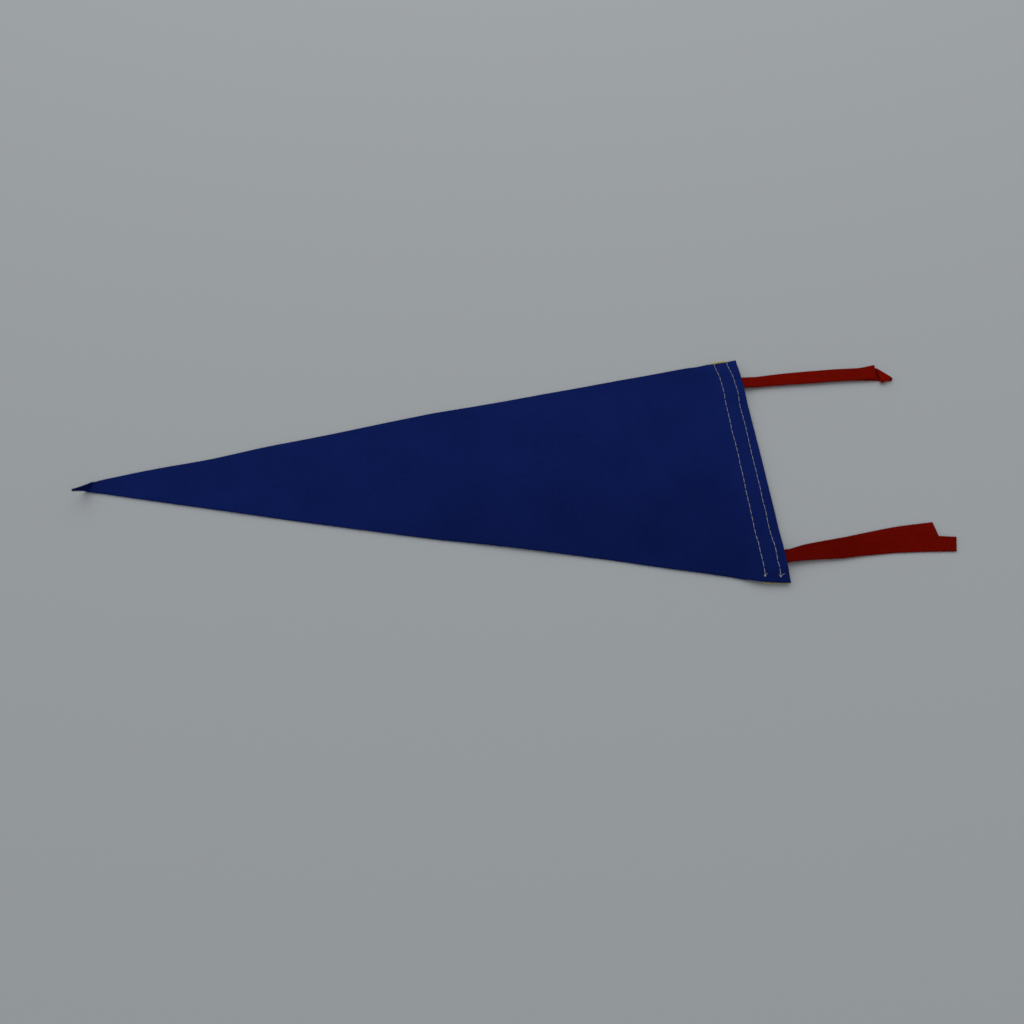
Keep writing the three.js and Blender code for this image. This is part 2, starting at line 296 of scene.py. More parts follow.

# %% [markdown]
# Pressed wool or acrylic felt has no weave. Fine fibres lie on it in every direction, so up close it is
# streaky in small curved strokes, and from a step away it is softly cloudy. Its surface scatters light off
# a haze of fibre ends, which the shader's sheen stands for. The pattern is procedural: two stretched
# noises crossing each other give the strokes, and two round ones give tufts and clouds. All of them
# read the place on the flat cut, so the pattern bends with the cloth. A value kept with each point also
# scales the colour: painted light and shade, which makes the felt lighter or darker in places.

# %% Felt material
CLOUDS = {"scale": 38, "detail": 3}
CLOUD_RANGE = (0.32, 0.68)
TUFTS = {"scale": 520, "detail": 4, "roughness": 0.6}
TUFT_RANGE = (0.3, 0.7)
TUFT_SHARE = 0.45
STROKE_SCALES = ((2400, 380, 700), (420, 2100, 700))
STROKE_TURNS_DEG = (24, -17)
STROKES = {"scale": 1, "detail": 2, "roughness": 0.55, "distortion": 1.1}
STROKE_RANGE = (0.42, 0.78)
STROKE_SHARE = 0.4
STREAK_SCALES = (45, 720, 700)
STREAKS = {"scale": 1, "detail": 2}
STREAK_RANGE = (0.4, 0.62)
FELT_BUMP = 0.8
BLEND_SHARE, BLEND_FIRST, BLEND_SECOND, BLEND_RESULT = 0, 6, 7, 2
TUFT_HEIGHT = 0.00016
STROKE_HEIGHT = 0.00007
FELT_FINISH = {"Roughness": 0.95, "Specular IOR Level": 0.02, "Sheen Weight": 0.02, "Sheen Roughness": 0.6}


def add_node(tree, kind, inputs=None, **settings):
    """A new node with its settings and the values or links of its inputs."""
    node = tree.nodes.new(kind)
    for key, value in settings.items():
        setattr(node, key, value)
    for key, value in (inputs or {}).items():
        if isinstance(value, bpy.types.NodeSocket):
            tree.links.new(value, node.inputs[key])
        else:
            node.inputs[key].default_value = value
    return node


def set_inputs(node, values):
    """Sets sockets of a node to values that are the same all over."""
    for key, value in values.items():
        node.inputs[key].default_value = value


def noise(tree, place, scale, detail, roughness=0.5, distortion=0.0):
    """A noise pattern's value at a place."""
    inputs = {"Vector": place, "Scale": scale, "Detail": detail, "Roughness": roughness,
              "Distortion": distortion}
    return add_node(tree, "ShaderNodeTexNoise", inputs).outputs["Fac"]


def arithmetic(tree, operation, a, b):
    """The sum, product, maximum or the like of two values."""
    return add_node(tree, "ShaderNodeMath", {0: a, 1: b}, operation=operation).outputs[0]


def stretched(tree, value, limits):
    """A value stretched so that the lower limit becomes 0 and the upper one 1."""
    inputs = {"Value": value, "From Min": limits[0], "From Max": limits[1]}
    return add_node(tree, "ShaderNodeMapRange", inputs).outputs["Result"]


def blended(tree, share, a, b):
    """A colour that lies the given share of the way from a to b. Each of the two is a socket or plain red,
    green and blue."""
    inputs = {BLEND_SHARE: share}
    for socket, colour in ((BLEND_FIRST, a), (BLEND_SECOND, b)):
        inputs[socket] = colour if isinstance(colour, bpy.types.NodeSocket) else (*colour, 1)
    return add_node(tree, "ShaderNodeMix", inputs, data_type="RGBA").outputs[BLEND_RESULT]


def new_material(name):
    """An empty material with its shader."""
    material = bpy.data.materials.new(name)
    material.use_nodes = True
    return material, material.node_tree, material.node_tree.nodes["Principled BSDF"]


def felt_material(name, deep, usual, pale, haze, grain=0.0):
    """Pressed felt: clouds and tufts shift the colour between deep and pale, fibre strokes lift it, and
    tufts and strokes raise the surface. haze is the colour of the sheen of fibre ends, and grain the
    share of streaks that run the length of the piece, as in felt that was cut into strips."""
    material, tree, shader = new_material(name)
    place = add_node(tree, "ShaderNodeAttribute", attribute_name="cut_place").outputs["Vector"]
    clouds = stretched(tree, noise(tree, place, **CLOUDS), CLOUD_RANGE)
    tufts = stretched(tree, noise(tree, place, **TUFTS), TUFT_RANGE)
    strokes = None
    for scales, turn in zip(STROKE_SCALES, STROKE_TURNS_DEG):
        inputs = {"Vector": place, "Rotation": (0, 0, math.radians(turn)), "Scale": scales}
        turned = add_node(tree, "ShaderNodeMapping", inputs).outputs["Vector"]
        stroke = noise(tree, turned, **STROKES)
        strokes = stroke if strokes is None else arithmetic(tree, "MAXIMUM", strokes, stroke)
    strokes = stretched(tree, strokes, STROKE_RANGE)

    streaks = add_node(tree, "ShaderNodeMapping", {"Vector": place, "Scale": STREAK_SCALES}).outputs["Vector"]
    streaks = stretched(tree, noise(tree, streaks, **STREAKS), STREAK_RANGE)

    colour = blended(tree, clouds, deep, usual)
    colour = blended(tree, arithmetic(tree, "MULTIPLY", streaks, grain), colour, deep)
    colour = blended(tree, arithmetic(tree, "MULTIPLY", tufts, TUFT_SHARE), colour, usual)
    colour = blended(tree, arithmetic(tree, "MULTIPLY", strokes, STROKE_SHARE), colour, pale)

    # Painted light and shade: the value kept with each point makes the felt's colour lighter or darker.
    painted_shading = add_node(tree, "ShaderNodeAttribute", attribute_name="painted_light_and_shade").outputs["Fac"]
    inputs = {0: colour, "Scale": arithmetic(tree, "ADD", painted_shading, 1)}
    colour = add_node(tree, "ShaderNodeVectorMath", inputs, operation="SCALE").outputs[0]
    tree.links.new(colour, shader.inputs["Base Color"])

    height = {"Strength": FELT_BUMP, "Distance": TUFT_HEIGHT, "Height": tufts}
    tufted = add_node(tree, "ShaderNodeBump", height).outputs["Normal"]
    height = {"Strength": FELT_BUMP, "Distance": STROKE_HEIGHT, "Height": strokes, "Normal": tufted}
    stroked = add_node(tree, "ShaderNodeBump", height).outputs["Normal"]
    tree.links.new(stroked, shader.inputs["Normal"])

    set_inputs(shader, FELT_FINISH)
    shader.inputs["Sheen Tint"].default_value = (*haze, 1)
    return material


BLUE = {"deep": (0.0066, 0.0178, 0.137), "usual": (0.0092, 0.0232, 0.174), "pale": (0.0175, 0.039, 0.25),
        "haze": (0.1, 0.16, 0.6)}
YELLOW = {"deep": (0.7, 0.52, 0.08), "usual": (0.8, 0.62, 0.1), "pale": (0.88, 0.74, 0.2),
          "haze": (0.9, 0.8, 0.4)}
RED = {"deep": (0.172, 0.0025, 0.0006), "usual": (0.231, 0.0038, 0.0007), "pale": (0.335, 0.0136, 0.003),
       "haze": (0.6, 0.05, 0.03), "grain": 0.75}

blue_felt = felt_material("blue_felt", **BLUE)
yellow_felt = felt_material("yellow_felt", **YELLOW)
red_felt = felt_material("red_felt", **RED)
print("felt colours:", blue_felt.name, yellow_felt.name, red_felt.name)

# %% [markdown]
# The sewing is plain cotton thread in cream. Its two plies are modelled, so the material only needs fine
# hairs and a soft gloss. The thread does not bend after it is made, so its pattern can follow the object.

# %% Thread material
THREAD_HAIRS = {"scale": 3500, "detail": 3}
THREAD_HAIR_HEIGHT = 0.00003
THREAD_BUMP = 0.6
THREAD_FINISH = {"Roughness": 0.7, "Specular IOR Level": 0.3, "Sheen Weight": 0.1}
THREAD_DULL = (0.6, 0.6, 0.6)
THREAD_BRIGHT = (0.84, 0.84, 0.83)


def thread_material(name, dull, bright):
    """Cotton thread: a fine noise shifts the colour between dull and bright and raises hairs."""
    material, tree, shader = new_material(name)
    place = add_node(tree, "ShaderNodeTexCoord").outputs["Object"]
    hairs = noise(tree, place, **THREAD_HAIRS)
    tree.links.new(blended(tree, hairs, dull, bright), shader.inputs["Base Color"])
    height = {"Strength": THREAD_BUMP, "Distance": THREAD_HAIR_HEIGHT, "Height": hairs}
    tree.links.new(add_node(tree, "ShaderNodeBump", height).outputs["Normal"], shader.inputs["Normal"])
    set_inputs(shader, THREAD_FINISH)
    return material


cream_thread = thread_material("cream_thread", THREAD_DULL, THREAD_BRIGHT)
print("thread colour:", cream_thread.name)

# %% [markdown]
# The triangle was cut by eye along a ruler, so its long edges wander by a millimetre or two. A short table
# holds how far each edge stands outside the straight line from tip to corner. The body rests on the
# surface, climbs onto the heading strip near the wide end, and higher where a folded tie lies between the
# two. Three stretches of the long edges stand a little off the surface. The outline could be drawn as a
# curve and filled, but as a function it also tells the stitches and the lifted edges where the cloth ends.

# %% Outline and height of the body
BOW_X = (0, 13, 20, 40, 68, 97, 130, 164, 183, 207, 226, 250, 268, 291, 322, 338, 345, 352)
FAR_BOW = (0.45, -0.4, 0.2, 0.7, 0.25, 0.9, 1.5, 2, 2.1, 1.7, 1.5, 1.2, 0.9, 0.6, 0.3, -1.6, -1.85, -1.65)
NEAR_BOW = (0.2, -0.2, -0.3, 0.05, 0.4, 0.9, 1.25, 1.4, 1.35, 0.85, 0.6, 0.4, 0.35, 0.8, 1.2, 2.35, 1.75, 0.7)
EDGE_LIFTS = (
    {"x": 97, "side": 1, "reach": 26, "height": 0.5},
    {"x": 183, "side": 1, "reach": 38, "height": 0.6},
    {"x": 226, "side": -1, "reach": 36, "height": 0.5},
)
EDGE_LIFT_WIDTH = 0.45
STRIP_RAMP = (327, 336)
TIE_RAMP = (328, 340)
TIE_FLAT = 5.4
TIE_LUMPS = ({"y": 50.4, "fall": 11}, {"y": -57.8, "fall": 8})
HANDLING_WAVES = ({"size": 46, "height": 0.16, "seed": 3}, {"size": 17, "height": 0.06, "seed": 8})


def half_width(x, bows):
    """Half the triangle's width on one side of its middle line: the straight line plus the bow."""
    return HOIST_WIDTH / 2 / LENGTH * x + table_curve(BOW_X, bows, x)


def lump_share(y):
    """How much of a tie's lump is felt at a place across the hoist, 1 over a tie and 0 away from both."""
    shares = [1 - smooth(np.abs(y - lump["y"]), TIE_FLAT, TIE_FLAT + lump["fall"]) for lump in TIE_LUMPS]
    return np.maximum(*shares)


def body_lift(x, y):
    """Height of the body's underside: the ramp onto the strip, the ramp onto the ties' two layers, the
    lifted edges, and slight waves left by handling."""
    lift = SEAM_Z * smooth(x, *STRIP_RAMP)
    lift = lift + 2 * PLY_RISE * lump_share(y) * smooth(x, *TIE_RAMP)
    for place in EDGE_LIFTS:
        bows = FAR_BOW if place["side"] > 0 else NEAR_BOW
        inward = 1 - place["side"] * y / half_width(x, bows)
        nearness = 1 - smooth(np.abs(x - place["x"]), 0, place["reach"])
        lift = lift + place["height"] * nearness * (1 - smooth(inward, 0, EDGE_LIFT_WIDTH))
    for wave in HANDLING_WAVES:
        lift = lift + wave["height"] * (1 + np.clip(uneven(x, y, wave["size"], wave["seed"]), -1, 1)) / 2
    return lift


over_far_tie = body_lift(np.array(float(LENGTH)), np.array(TIE_LUMPS[0]["y"]))
print(f"the body stands {float(over_far_tie):.1f} mm up over the far tie")

# %% [markdown]
# The sharp tip has curled up and over, as thin felt points do. It is bent about a slanting crease: the
# cloth beyond the crease climbs a small arc and goes straight on. The same function later folds over a
# tie's corner. A Simple Deform modifier could bend it too, but it bends about an axis of the object, not
# about a slanting line on the sheet.

# %% Bending a sheet about a line
CREASE_FAR_X = 17.25
CREASE_NEAR_X = 13
CURL_RADIUS = 0.9
CURL_TURN = math.radians(113.5)
STRAIGHTEN_LENGTH = 45


def bend_line(start, end):
    """The line through two points, with the direction square to it that points to its outer side."""
    step = np.asarray(end, float)[:2] - np.asarray(start, float)[:2]
    outward = np.array([-step[1], step[0]]) / np.linalg.norm(step)
    return {"at": np.asarray(start, float)[:2], "outward": outward}


def bend_over(points, line, radius, turn):
    """Points of a flat sheet after what lies beyond a line is bent up.

    A point a distance s beyond the line is carried round an arc by the angle a = s / radius, at most the
    turn, and goes on straight: out = radius sin a + rest cos a, and rise = radius (1 - cos a) + rest sin a.
    """
    beyond = np.maximum((points[..., :2] - line["at"]) @ line["outward"], 0)
    angle = np.minimum(beyond / radius, turn)
    rest = beyond - angle * radius
    out = radius * np.sin(angle) + rest * np.cos(angle)
    rise = radius * (1 - np.cos(angle)) + rest * np.sin(angle)
    shift = (out - beyond)[..., None] * line["outward"]
    return points + np.concatenate([shift, rise[..., None]], axis=-1)


crease = bend_line((CREASE_NEAR_X, -half_width(CREASE_NEAR_X, NEAR_BOW)),
                   (CREASE_FAR_X, half_width(CREASE_FAR_X, FAR_BOW)))
print("the crease faces", np.round(crease["outward"], 3).tolist())

# %% [markdown]
# Two rows of machine stitching hold the heading strip and the ties. A row is a line of needle holes: the
# thread lies on the felt between two holes and is pulled down at each. The pull leaves a shallow trough
# with a dimple at every hole, so the rows are laid out before the body is made, and the body's surface
# takes both. A bump texture could stand for the trough, but it would vanish from the side. Each hole
# stands off the ideal line by a tenth of a millimetre or so.

# %% Where the stitches go
STITCH = 3.8
ROW_X = {"inner": 339.5, "outer": 346.7}
ROW_BOW = 0.5
ROW_SLANT = 0.25
ROW_SLANT_SPAN = 0.6
ROW_TURN_IN = 1.2
ROW_TURN_FROM = (45, 65)
ROW_DRAW_IN = 0.35
ROW_END_MARGIN = 2.5
HOLE_JITTER = 0.09
HOLE_SEEDS = {"inner": 21, "outer": 22}
TROUGH = {"depth": 0.13, "width": 0.55, "run_out": 1}
DIMPLE = {"depth": 0.22, "width": 0.8}


def row_x(row, y):
    """x of a stitch row: it bows with the hoist edge, slants in a little on the near half, turns in near
    the far end, and is drawn in over the ties, because the cloth climbs there."""
    across = 2 * y / HOIST_WIDTH
    bow = ROW_BOW * across ** 2 + ROW_SLANT * smooth(-across, 0, ROW_SLANT_SPAN)
    return ROW_X[row] - bow - ROW_TURN_IN * smooth(y, *ROW_TURN_FROM) - ROW_DRAW_IN * lump_share(y)


def needle_holes(row, seed):
    """The needle holes of a row, x and y, from the far edge to just short of the near edge."""
    far = half_width(ROW_X[row], FAR_BOW)
    near = ROW_END_MARGIN - half_width(ROW_X[row], NEAR_BOW)
    count = round((far - near) / STITCH)
    jitter = np.random.default_rng(seed).normal(0, HOLE_JITTER, (2, count + 1))
    jitter[:, 0] = 0
    y = np.linspace(far, near, count + 1) + jitter[1]
    return np.stack([row_x(row, y) + jitter[0], y], axis=-1)


holes = {row: needle_holes(row, seed) for row, seed in HOLE_SEEDS.items()}


def sewn_relief(x, y):
    """How far the pull of the stitches lowers the felt: a trough along each row and a dimple at each hole,
    both fading as e to the power of minus the squared distance by the squared width."""
    relief = np.zeros(np.shape(x))
    for row, places in holes.items():
        inside = smooth(y, places[-1, 1] - TROUGH["run_out"], places[-1, 1])
        relief = relief - TROUGH["depth"] * inside * np.exp(-((x - row_x(row, y)) / TROUGH["width"]) ** 2)
        for hole in places[1:]:
            squared = (x - hole[0]) ** 2 + (y - hole[1]) ** 2
            relief = relief - DIMPLE["depth"] * np.exp(-squared / DIMPLE["width"] ** 2)
    return relief


print("stitches:", {row: len(places) - 1 for row, places in holes.items()})

# %% [markdown]
# Now the body itself. Columns run across the triangle and rows fan out from the tip to the hoist, so the
# grid ends just where the felt was cut. A square grid trimmed to the outline would leave a stepped edge.
# Columns are close together at the curled tip and at the seam, and rows are a quarter of a stitch apart at
# the hoist, so that each dimple gets its own points.

# %% The blue triangle
HOIST_BOW = 1.05
HOIST_BOW_AT_ENDS = 0.75
HOIST_DRAW_IN = 0.6
EDGE_ROWS = np.array([0, 0.25, 0.6])
ROWS_PER_STITCH = 4
BODY_ROWS = round(HOIST_WIDTH / STITCH) * ROWS_PER_STITCH
TIP_COLUMNS = {"to": 20, "count": 34}
FLAT_COLUMNS = {"to": 330, "count": 212}
SEAM_COLUMNS = {"to": LENGTH, "count": 51}
# Painted light and shade on the body: darker towards the near side of the wide half and on the raised tip,
# lighter at the seam.
NEAR_SIDE_PAINTED_SHADE = {"lighter": -0.2, "x": (90, 230), "y": (15, -50)}
SEAM_PAINTED_LIGHT = {"lighter": 0.12, "x": (325, 345)}
TIP_PAINTED_SHADE = {"lighter": -0.3, "x": (22, 18), "z": (1.5, 4)}


def body_grid():
    """Columns of x and rows of shares of the width, both closer together where the shape needs it."""
    columns = [np.zeros(1)]
    for stretch in (TIP_COLUMNS, FLAT_COLUMNS, SEAM_COLUMNS):
        columns.append(np.linspace(columns[-1][-1], stretch["to"], stretch["count"])[1:])
    edge = EDGE_ROWS / HOIST_WIDTH
    shares = np.concatenate([edge, np.linspace(0, 1, BODY_ROWS)[1:-1], 1 - edge[::-1]])
    return np.meshgrid(np.concatenate(columns), shares, indexing="ij")


def body_flat(columns, shares):
    """Places on the flat cut. Near the tip the columns slant to run along the crease, and at the hoist
    they take the bow of its edge."""
    crease_x = (CREASE_FAR_X + CREASE_NEAR_X) / 2
    slant = np.clip(columns / crease_x, 0, 1) * (1 - smooth(columns, crease_x, crease_x + STRAIGHTEN_LENGTH))
    lead = (CREASE_FAR_X - CREASE_NEAR_X) / 2 * slant
    near = -half_width(columns - lead, NEAR_BOW)
    far = half_width(columns + lead, FAR_BOW)
    x = mix(columns - lead, columns + lead, shares)
    y = mix(near, far, shares)
    bow = HOIST_BOW - HOIST_BOW_AT_ENDS * (2 * y / HOIST_WIDTH) ** 2 - HOIST_DRAW_IN * lump_share(y)
    return x + bow * smooth(columns, TIE_RAMP[1], LENGTH), y


def body_painted_light(points):
    """Painted light and shade on the body: the felt darker by up to a fifth towards the near side of the wide
    half, where less light falls, a little lighter at the seam, and darker on the raised tip, which faces away
    from the light."""
    x, y, z = np.moveaxis(points, -1, 0)
    near_side = smooth(x, *NEAR_SIDE_PAINTED_SHADE["x"]) * smooth(y, *NEAR_SIDE_PAINTED_SHADE["y"])
    tip = smooth(x, *TIP_PAINTED_SHADE["x"]) * smooth(z, *TIP_PAINTED_SHADE["z"])
    seam = smooth(x, *SEAM_PAINTED_LIGHT["x"])
    return SEAM_PAINTED_LIGHT["lighter"] * seam + NEAR_SIDE_PAINTED_SHADE["lighter"] * near_side + TIP_PAINTED_SHADE["lighter"] * tip


body_x, body_y = body_flat(*body_grid())
body_middle = np.dstack([body_x, body_y, body_lift(body_x, body_y) + BODY_THICKNESS / 2])
body_middle = bend_over(body_middle, crease, CURL_RADIUS, CURL_TURN)
body_sheet = felt_sheet(body_middle, np.dstack([body_x, body_y]), BODY_THICKNESS,
                        top_relief=sewn_relief(body_x, body_y), seed=5)
body = new_piece("felt_triangle", body_sheet["points"], body_sheet["faces"], blue_felt, body_sheet["cut"],
                 body_painted_light)
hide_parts("pennant_body")

# %% [markdown]
# The heading strip is a straight strip of yellow felt, 12 mm wide. It lies flat under the hoist end and
# only shows as a thin yellow line at both ends of the seam. A plain box would do for that line, but not for
# a flag that is turned over. The underside carries the lower thread, which is pulled into the felt, so the
# strip gets a groove along each row and still lies flat.

# %% The yellow heading strip
STRIP_WAVE = 0.15
STRIP_WAVE_LENGTH = 37
STRIP_COLUMNS = 33
STRIP_ROWS = 150
STRIP_END_STOPS = (0, 0.5, 1)
GROOVE = {"depth": 0.3, "width": 0.5}

strip_share_x, strip_share_y = np.meshgrid(
    np.linspace(0, 1, STRIP_COLUMNS), np.linspace(0, 1, STRIP_ROWS), indexing="ij")
strip_ends = [np.interp(strip_share_x, STRIP_END_STOPS, ends) for ends in (STRIP_NEAR, STRIP_FAR)]
strip_y = mix(*strip_ends, strip_share_y)
strip_x = mix(STRIP_INNER_X, STRIP_OUTER_X, strip_share_x)
strip_x = strip_x + STRIP_WAVE * np.sin(2 * math.pi * strip_y / STRIP_WAVE_LENGTH + strip_share_x)


def groove(x, y):
    """Depth of the grooves on the strip's underside, one along each row of stitches."""
    return sum(GROOVE["depth"] * np.exp(-((x - row_x(row, y)) / GROOVE["width"]) ** 2) for row in ROW_X)


strip_middle = np.dstack([strip_x, strip_y, np.full(strip_x.shape, STRIP_THICKNESS / 2)])
strip_sheet = felt_sheet(strip_middle, np.dstack([strip_x, strip_y]), STRIP_THICKNESS,
                         under_relief=groove(strip_x, strip_y), seed=6)
strip = new_piece("felt_heading_strip", strip_sheet["points"], strip_sheet["faces"], yellow_felt,
                  strip_sheet["cut"])
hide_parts("heading_strip")

# %% [markdown]
# Each tie is one strip of red felt, 8 mm wide, folded in half. The fold is caught in the seam, and two free
# tails come out past the hoist, one on the other. A short table gives the lie of each tail: the place of
# its middle line, half its width, how far its far edge leads, and how high each edge of its underside
# stands. A cloth simulation would drop the tails somewhere by chance, and here their lie is known. Columns
# follow the strip from the upper tail's free end, round the fold, to the lower tail's end.

# %% Lie of the ties
TIE_COLUMNS = ("x", "y", "half", "skew", "near_z", "far_z")
UPPER_Z = SEAM_Z + PLY_RISE
FAR_TIE = {
    "lower": (
        (FOLD_X, 50.4, 3.75, 0, SEAM_Z, SEAM_Z),
        (350, 51.8, 2.85, 0, SEAM_Z, SEAM_Z),
        (361, 53.3, 2.95, 0, 0, 0),
        (376, 54.6, 3.45, 0, 0, 0),
        (407, 56.1, 3.5, 0, 0, 0),
        (428.5, 55.6, 4.5, -8.2, 0, 0),
    ),
    "upper": (
        (FOLD_X, 50.4, 3.75, 0, UPPER_Z, UPPER_Z),
        (350, 51.35, 3.2, 0, UPPER_Z, UPPER_Z),
        (361, 52.7, 3.4, 0, PLY_RISE, PLY_RISE),
        (368, 53.35, 3.6, 0, PLY_RISE, PLY_RISE),
        (376, 53.9, 3.8, 0, PLY_RISE, PLY_RISE),
        (391, 54.7, 4.05, 0, PLY_RISE, PLY_RISE),
        (407, 55.45, 4.05, 0, PLY_RISE, PLY_RISE),
        (415, 55.5, 4, 0, PLY_RISE, 1.4),
        (424.1, 55.95, 4.15, 0.9, 1.65, 2.9),
    ),
}
NEAR_TIE = {
    "lower": (
        (FOLD_X, -58.2, 3.6, 0, SEAM_Z, SEAM_Z),
        (350, -57.05, 3.15, 0, SEAM_Z, SEAM_Z),
        (355.4, -55.65, 3.4, 0, 0.75, 0.75),
        (361, -54.1, 3.85, 0, 0, 0),
        (370, -52.7, 4, 0, 0, 0),
        (380, -51.15, 4, 0, 0, 0),
        (395, -48.5, 4.05, 0, 0, 0),
        (410, -46.1, 4.1, -0.4, 0, 0),
        (427, -44.5, 4.1, -0.7, 0, 0),
    ),
    "upper": (
        (FOLD_X, -58.2, 3.6, 0, UPPER_Z, UPPER_Z),
        (350, -57.25, 3.25, 0, UPPER_Z, UPPER_Z),
        (357.4, -56.4, 3.3, 0, 1.85, 1.85),
        (367, -55.5, 3.55, 0, PLY_RISE, 1.4),
        (377, -54.85, 3.85, 0, 0.85, 2.05),
        (392, -53.35, 3.9, 0.4, 0.2, 2.3),
        (406.5, -52.6, 3.9, 0.9, 0, 1.9),
        (421, -52.8, 3.8, 1.6, 0, 1.55),
        (434.3, -53.15, 3.8, 2.2, 0, 0.3),
    ),
}
STATION = 0.4


def tail_edges(rows, x):
    """Near and far edge points of a tail's middle surface at the places x along it."""
    table = dict(zip(TIE_COLUMNS, np.array(rows).T))
    value = {name: table_curve(table["x"], table[name], x) for name in TIE_COLUMNS[1:]}
    lift = TIE_THICKNESS / 2
    near = [x - value["skew"] / 2, value["y"] - value["half"], value["near_z"] + lift]
    far = [x + value["skew"] / 2, value["y"] + value["half"], value["far_z"] + lift]
    return np.stack(near, axis=-1), np.stack(far, axis=-1)


def tail_places(rows):
    """Places along a tail, a station apart."""
    start, end = rows[0][0], rows[-1][0]
    return np.linspace(start, end, round((end - start) / STATION) + 1)


def tie_fold(near, far, steps=14):
    """Edge points round the fold: half a circle that starts over the root and ends at it."""
    radius = PLY_RISE / 2
    angle = np.linspace(math.pi, 0, steps + 1)[1:-1]
    turn = np.stack([-radius * np.sin(angle), np.zeros_like(angle), radius * (1 - np.cos(angle))], axis=-1)
    return near + turn, far + turn


print("tails end at x =", [rows[-1][0] for tie in (FAR_TIE, NEAR_TIE) for rows in tie.values()])

# %% [markdown]
# The far tie's lower tail has a slanting end, and its last corner has flipped over onto it. The strip runs
# on to the corner's point in straight lines, and the bend function then turns what is past the crease by
# half a turn, so that the flap comes to lie just over the tail. A loose flap laid on top would be simpler,
# but it would show no round fold at its crease.

# %% The two red ties
CORNER = (437.2, 58.8)
CORNER_TURN_STEPS = 12
CORNER_FLAP_SHARES = (0.36, 0.45, 0.54, 0.63, 0.72, 0.81, 0.88, 0.94)
TIE_EDGE_SHARES = np.array([0, 0.03, 0.075])
TIE_MIDDLE_SHARES = np.linspace(0.12, 0.88, 12)
TIE_WAVE = {"size": 13, "height": 0.05, "seed": 12}
# Painted light on the ties: how much lighter each tie is painted, and how much more towards its free end.
FAR_TIE_PAINTED_LIGHT = {"lighter": 0.31, "more": 0.2, "x": (416, 430)}
NEAR_TIE_PAINTED_LIGHT = {"lighter": 0, "more": 0.21, "x": (380, 415)}


def corner_edges(near, far):
    """Edge points of the folded-over corner, past the tail's last edge points near and far."""
    line = bend_line(far, near)
    radius = PLY_RISE / 2
    point = np.array([*CORNER, near[2]])
    depth = (point[:2] - line["at"]) @ line["outward"]
    turned = math.pi * radius / depth
    on_arc = turned * np.arange(1, CORNER_TURN_STEPS + 1) / CORNER_TURN_STEPS
    shares = np.concatenate([on_arc, CORNER_FLAP_SHARES])[:, None]
    return [bend_over(mix(edge, point, shares), line, radius, math.pi) for edge in (near, far)]


def tie_grid(tie, folded):
    """The tie's middle surface, and the same points on its flat cut, where a column's place is the length
    run along the strip."""
    upper = tail_edges(tie["upper"], tail_places(tie["upper"])[::-1])
    lower = tail_edges(tie["lower"], tail_places(tie["lower"]))
    stretches = [upper, tie_fold(lower[0][0], lower[1][0]), lower]
    if folded:
        stretches.append(corner_edges(lower[0][-1], lower[1][-1]))
    near = np.concatenate([stretch[0] for stretch in stretches])
    far = np.concatenate([stretch[1] for stretch in stretches])
    shares = np.concatenate([TIE_EDGE_SHARES, TIE_MIDDLE_SHARES, 1 - TIE_EDGE_SHARES[::-1]])
    middle = mix(near[:, None], far[:, None], shares[None, :, None])
    centre = (near + far) / 2
    run = np.concatenate([[0], np.cumsum(np.linalg.norm(np.diff(centre, axis=0), axis=-1))])
    width = np.linalg.norm(far - near, axis=-1)
    flat = np.dstack([np.repeat(run[:, None], len(shares), axis=1), np.outer(width, shares)])
    return middle, flat


def tie_painted_light(points):
    """Painted light on the ties: the far tie lighter than the near one, as more light falls on the far side,
    and both lighter towards their free ends, the far tie's flipped corner most.
    """
    far, near = [painted_shading["lighter"] + painted_shading["more"] * smooth(points[:, 0], *painted_shading["x"])
                 for painted_shading in (FAR_TIE_PAINTED_LIGHT, NEAR_TIE_PAINTED_LIGHT)]
    return np.where(points[:, 1] > 0, far, near)


def make_tie(name, node, tie, folded, seed):
    """A red tie as a closed sheet, a little wavy all over."""
    middle, flat = tie_grid(tie, folded)
    waves = uneven(flat[..., 0], flat[..., 1], TIE_WAVE["size"], TIE_WAVE["seed"] + seed)
    wave = TIE_WAVE["height"] * waves
    sheet = felt_sheet(middle, flat, TIE_THICKNESS, top_relief=wave, seed=seed)
    piece = new_piece(name, sheet["points"], sheet["faces"], red_felt, sheet["cut"], tie_painted_light)
    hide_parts(node)
    return piece, sheet


tie_far, tie_far_sheet = make_tie("felt_tie_far", "tie_far", FAR_TIE, True, seed=7)
tie_near, tie_near_sheet = make_tie("felt_tie_near", "tie_near", NEAR_TIE, False, seed=9)

# %% [markdown]
# Thread is a tube along a path. The tube's ring of points at each place on the path lies in the plane
# square to it. Two plies twisted together are not round: the ring's radius has two bulges, and they turn
# with the length run. A curve with a bevel gives round tubes only, one at a time. This function makes any
# number of tubes at once, so it also makes the fibres of the felt.

